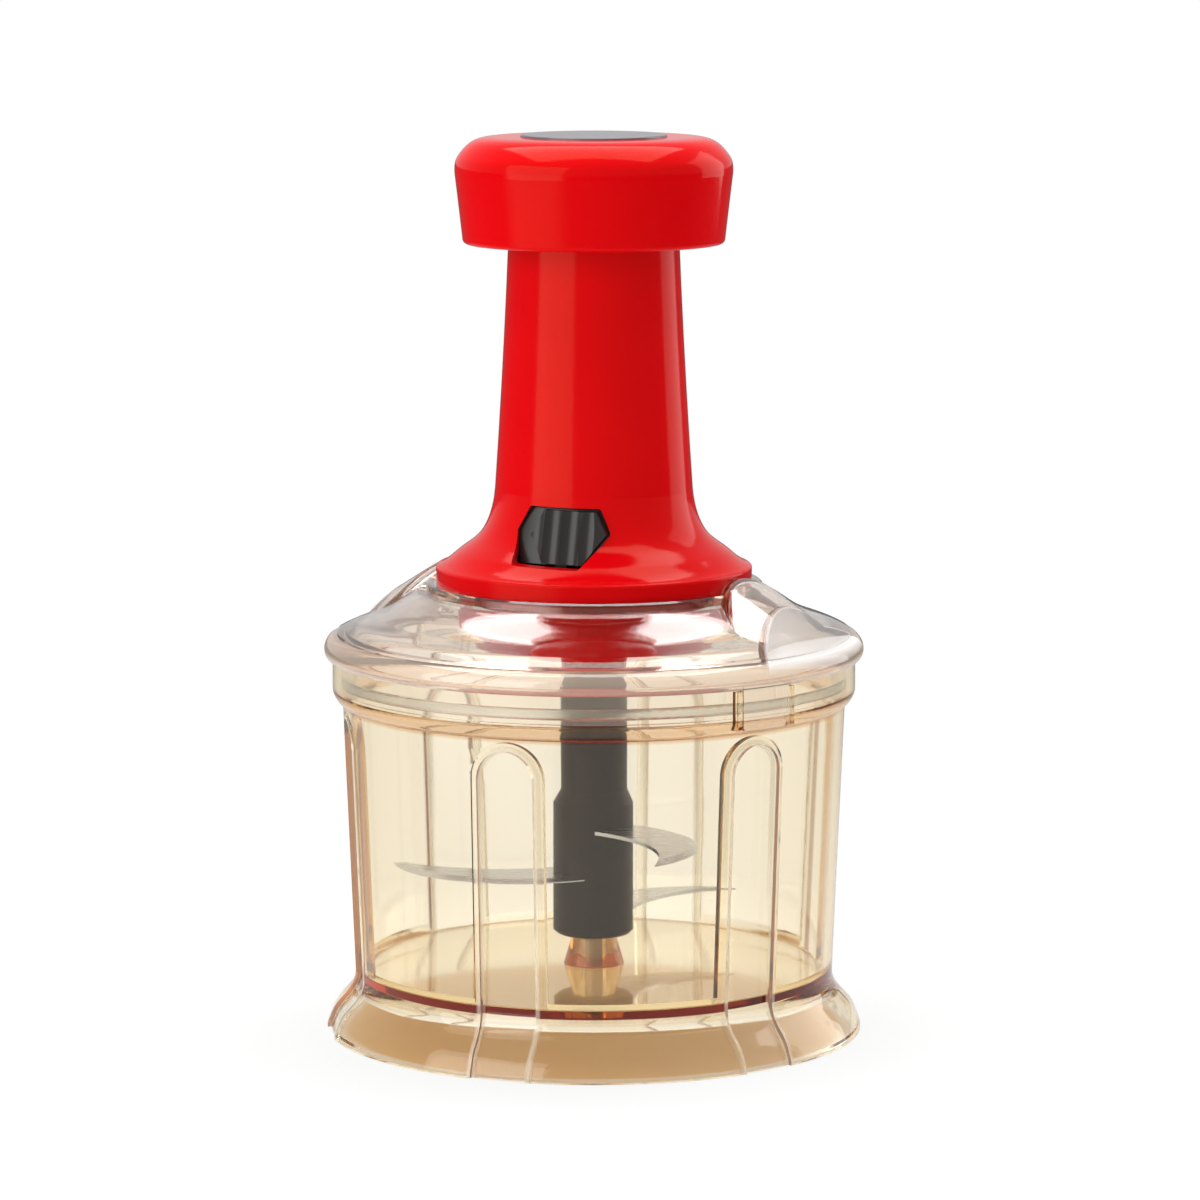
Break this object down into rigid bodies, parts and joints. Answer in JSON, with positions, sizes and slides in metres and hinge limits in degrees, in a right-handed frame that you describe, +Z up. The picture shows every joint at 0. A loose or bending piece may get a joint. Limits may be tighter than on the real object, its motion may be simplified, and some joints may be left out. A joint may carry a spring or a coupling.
{
  "type": "plunger food chopper",
  "caption": "Push-down food chopper: a clear fluted bowl with spinning sickle blades, a clear lid with finger recesses, and a red plunger handle with a lock slider.",
  "frame": {"origin": "centre of the foot ring, on the surface the bowl stands on", "axes": "+Z up along the plunger's axis, -Y towards the front with the lock slider just left of it, +X to the right"},
  "size_m": [0.1504, 0.1504, 0.25],
  "materials": {
    "clear_bowl": "clear moulded plastic, polished",
    "clear_lid": "clear moulded plastic, polished",
    "red_plastic": "glossy red moulded plastic",
    "black_plastic": "satin near-black plastic",
    "stem_plastic": "satin dark grey-brown plastic",
    "white_plastic": "natural white acetal",
    "badge_plastic": "glossy grey disc",
    "blade_steel": "ground stainless steel",
    "spindle_steel": "drawn steel",
    "screw_steel": "bright plated steel",
    "brass": "turned brass",
    "silicone": "milky silicone"
  },
  "bodies": {
    "bowl": {"bowl": "clear_bowl", "blade_pin": "spindle_steel"},
    "blade_unit": {"blade_stem": "stem_plastic", "stem_bush": "brass", "blade_lower": "blade_steel", "blade_middle": "blade_steel", "blade_upper": "blade_steel"},
    "lid_unit": {"lid": "clear_lid", "lid_gasket": "silicone", "housing": "red_plastic", "housing_base": "red_plastic", "housing_screws": "screw_steel", "thrust_washer": "brass", "return_spring": "screw_steel"},
    "spindle": {"drive_spindle": "spindle_steel", "spindle_clip": "screw_steel", "spring_seat": "white_plastic"},
    "plunger": {"plunger_tube": "white_plastic", "drive_nut": "white_plastic", "knob": "red_plastic", "knob_washer": "screw_steel", "knob_screw": "screw_steel", "knob_badge": "badge_plastic"},
    "lock": {"lock_button": "black_plastic", "lock_bolt": "black_plastic"}
  },
  "joints": [
    {"name": "lid_lift", "type": "slide", "parent": "bowl", "child": "lid_unit", "axis": [0, 0, 1], "range_m": [0, 0.12]},
    {"name": "plunger_press", "type": "slide", "parent": "lid_unit", "child": "plunger", "axis": [0, 0, -1], "range_m": [0, 0.022], "stiffness_N_per_m": 600, "springref_m": -0.015, "deforming": ["return_spring"]},
    {"name": "spindle_spin", "type": "hinge", "parent": "lid_unit", "child": "spindle", "pos_m": [0, 0, 0.1], "axis": [0, 0, 1], "range_deg": [0, 360]},
    {"name": "blade_spin", "type": "hinge", "parent": "bowl", "child": "blade_unit", "pos_m": [0, 0, 0.03], "axis": [0, 0, 1], "range_deg": [0, 360]},
    {"name": "lock_slide", "type": "hinge", "parent": "lid_unit", "child": "lock", "pos_m": [0, 0, 0.14], "axis": [0, 0, -1], "range_deg": [0, 7.5]}
  ],
  "couplings": [
    {"joint": "spindle_spin", "follows": "plunger_press", "rad_per_m": 285.6},
    {"joint": "blade_spin", "follows": "plunger_press", "rad_per_m": 285.6}
  ]
}
